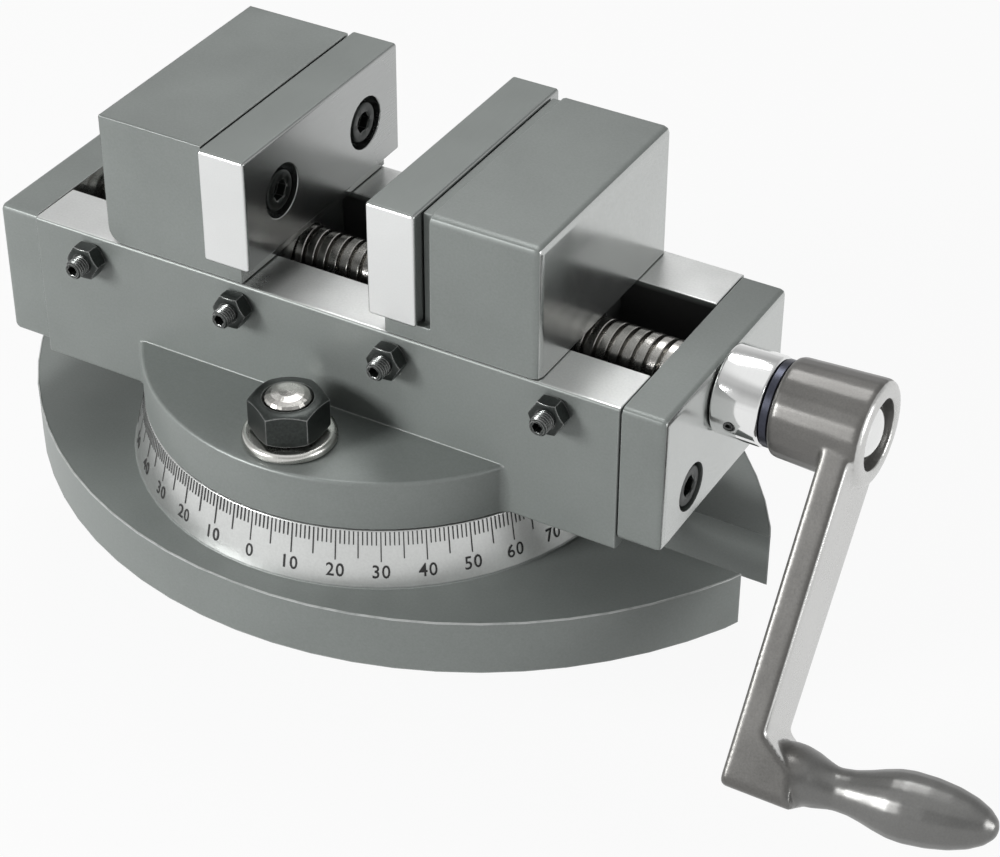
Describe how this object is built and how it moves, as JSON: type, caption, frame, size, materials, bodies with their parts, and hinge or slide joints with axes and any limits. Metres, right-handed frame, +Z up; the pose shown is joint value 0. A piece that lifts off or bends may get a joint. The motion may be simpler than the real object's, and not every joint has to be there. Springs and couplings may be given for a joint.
{
  "type": "machine vise",
  "caption": "Self-centring vise: two jaws on a two-handed screw with a crank, on a graduated swivel base clamped by T-bolts.",
  "frame": {"origin": "the point where the swivel axis meets the underside of the base, at the base's seat on the machine table", "axes": "+X along the lead screw towards the crank, -Y to the operator's side with the lock nuts, +Z up"},
  "size_m": [0.3568, 0.1764, 0.1478],
  "materials": {
    "cast_grey": "satin grey, fine ground grain",
    "ground_steel": "ground",
    "machined_steel": "turned",
    "polished_steel": "polished",
    "crank_metal": "cast and polished",
    "bronze": "turned",
    "black_oxide": "black oxide, worn edges"
  },
  "bodies": {
    "base": {"swivel_base": "cast_grey"},
    "bed": {"vise_bed": "cast_grey", "pivot_spigot": "machined_steel", "gib_strip": "machined_steel", "end_plate_right": "cast_grey", "end_plate_left": "cast_grey", "end_screw_right_front": "black_oxide", "end_screw_right_back": "black_oxide", "end_screw_left_front": "black_oxide", "end_screw_left_back": "black_oxide", "gib_screw_1": "black_oxide", "gib_screw_2": "black_oxide", "gib_screw_3": "black_oxide", "gib_screw_4": "black_oxide", "lock_nut_1": "black_oxide", "lock_nut_2": "black_oxide", "lock_nut_3": "black_oxide", "lock_nut_4": "black_oxide", "clamp_bolt_front": "machined_steel", "clamp_bolt_rear": "machined_steel", "clamp_washer_front": "ground_steel", "clamp_washer_rear": "ground_steel", "clamp_nut_front": "black_oxide", "clamp_nut_rear": "black_oxide"},
    "screw": {"lead_screw": "machined_steel", "thrust_collar": "polished_steel", "spacer_ring": "black_oxide", "crank_handle": "crank_metal", "crank_screw": "polished_steel"},
    "right_jaw": {"jaw_block_right": "cast_grey", "jaw_plate_right": "ground_steel", "jaw_nut_right": "bronze", "jaw_screw_right_front": "black_oxide", "jaw_screw_right_back": "black_oxide"},
    "left_jaw": {"jaw_block_left": "cast_grey", "jaw_plate_left": "ground_steel", "jaw_nut_left": "bronze", "jaw_screw_left_front": "black_oxide", "jaw_screw_left_back": "black_oxide"}
  },
  "joints": [
    {"name": "swivel", "type": "hinge", "parent": "base", "child": "bed", "pos_m": [0, 0, 0.0373], "axis": [0, 0, 1], "continuous": true},
    {"name": "screw_turn", "type": "hinge", "parent": "bed", "child": "screw", "pos_m": [0, 0, 0.0756], "axis": [1, 0, 0], "range_deg": [-1790, 2249]},
    {"name": "right_slide", "type": "slide", "parent": "bed", "child": "right_jaw", "axis": [1, 0, 0], "range_m": [-0.0199, 0.025]},
    {"name": "left_slide", "type": "slide", "parent": "bed", "child": "left_jaw", "axis": [-1, 0, 0], "range_m": [-0.0199, 0.025]}
  ],
  "couplings": [
    {"joint": "right_slide", "follows": "screw_turn", "m_per_rad": 0.00063662},
    {"joint": "left_slide", "follows": "screw_turn", "m_per_rad": 0.00063662}
  ]
}
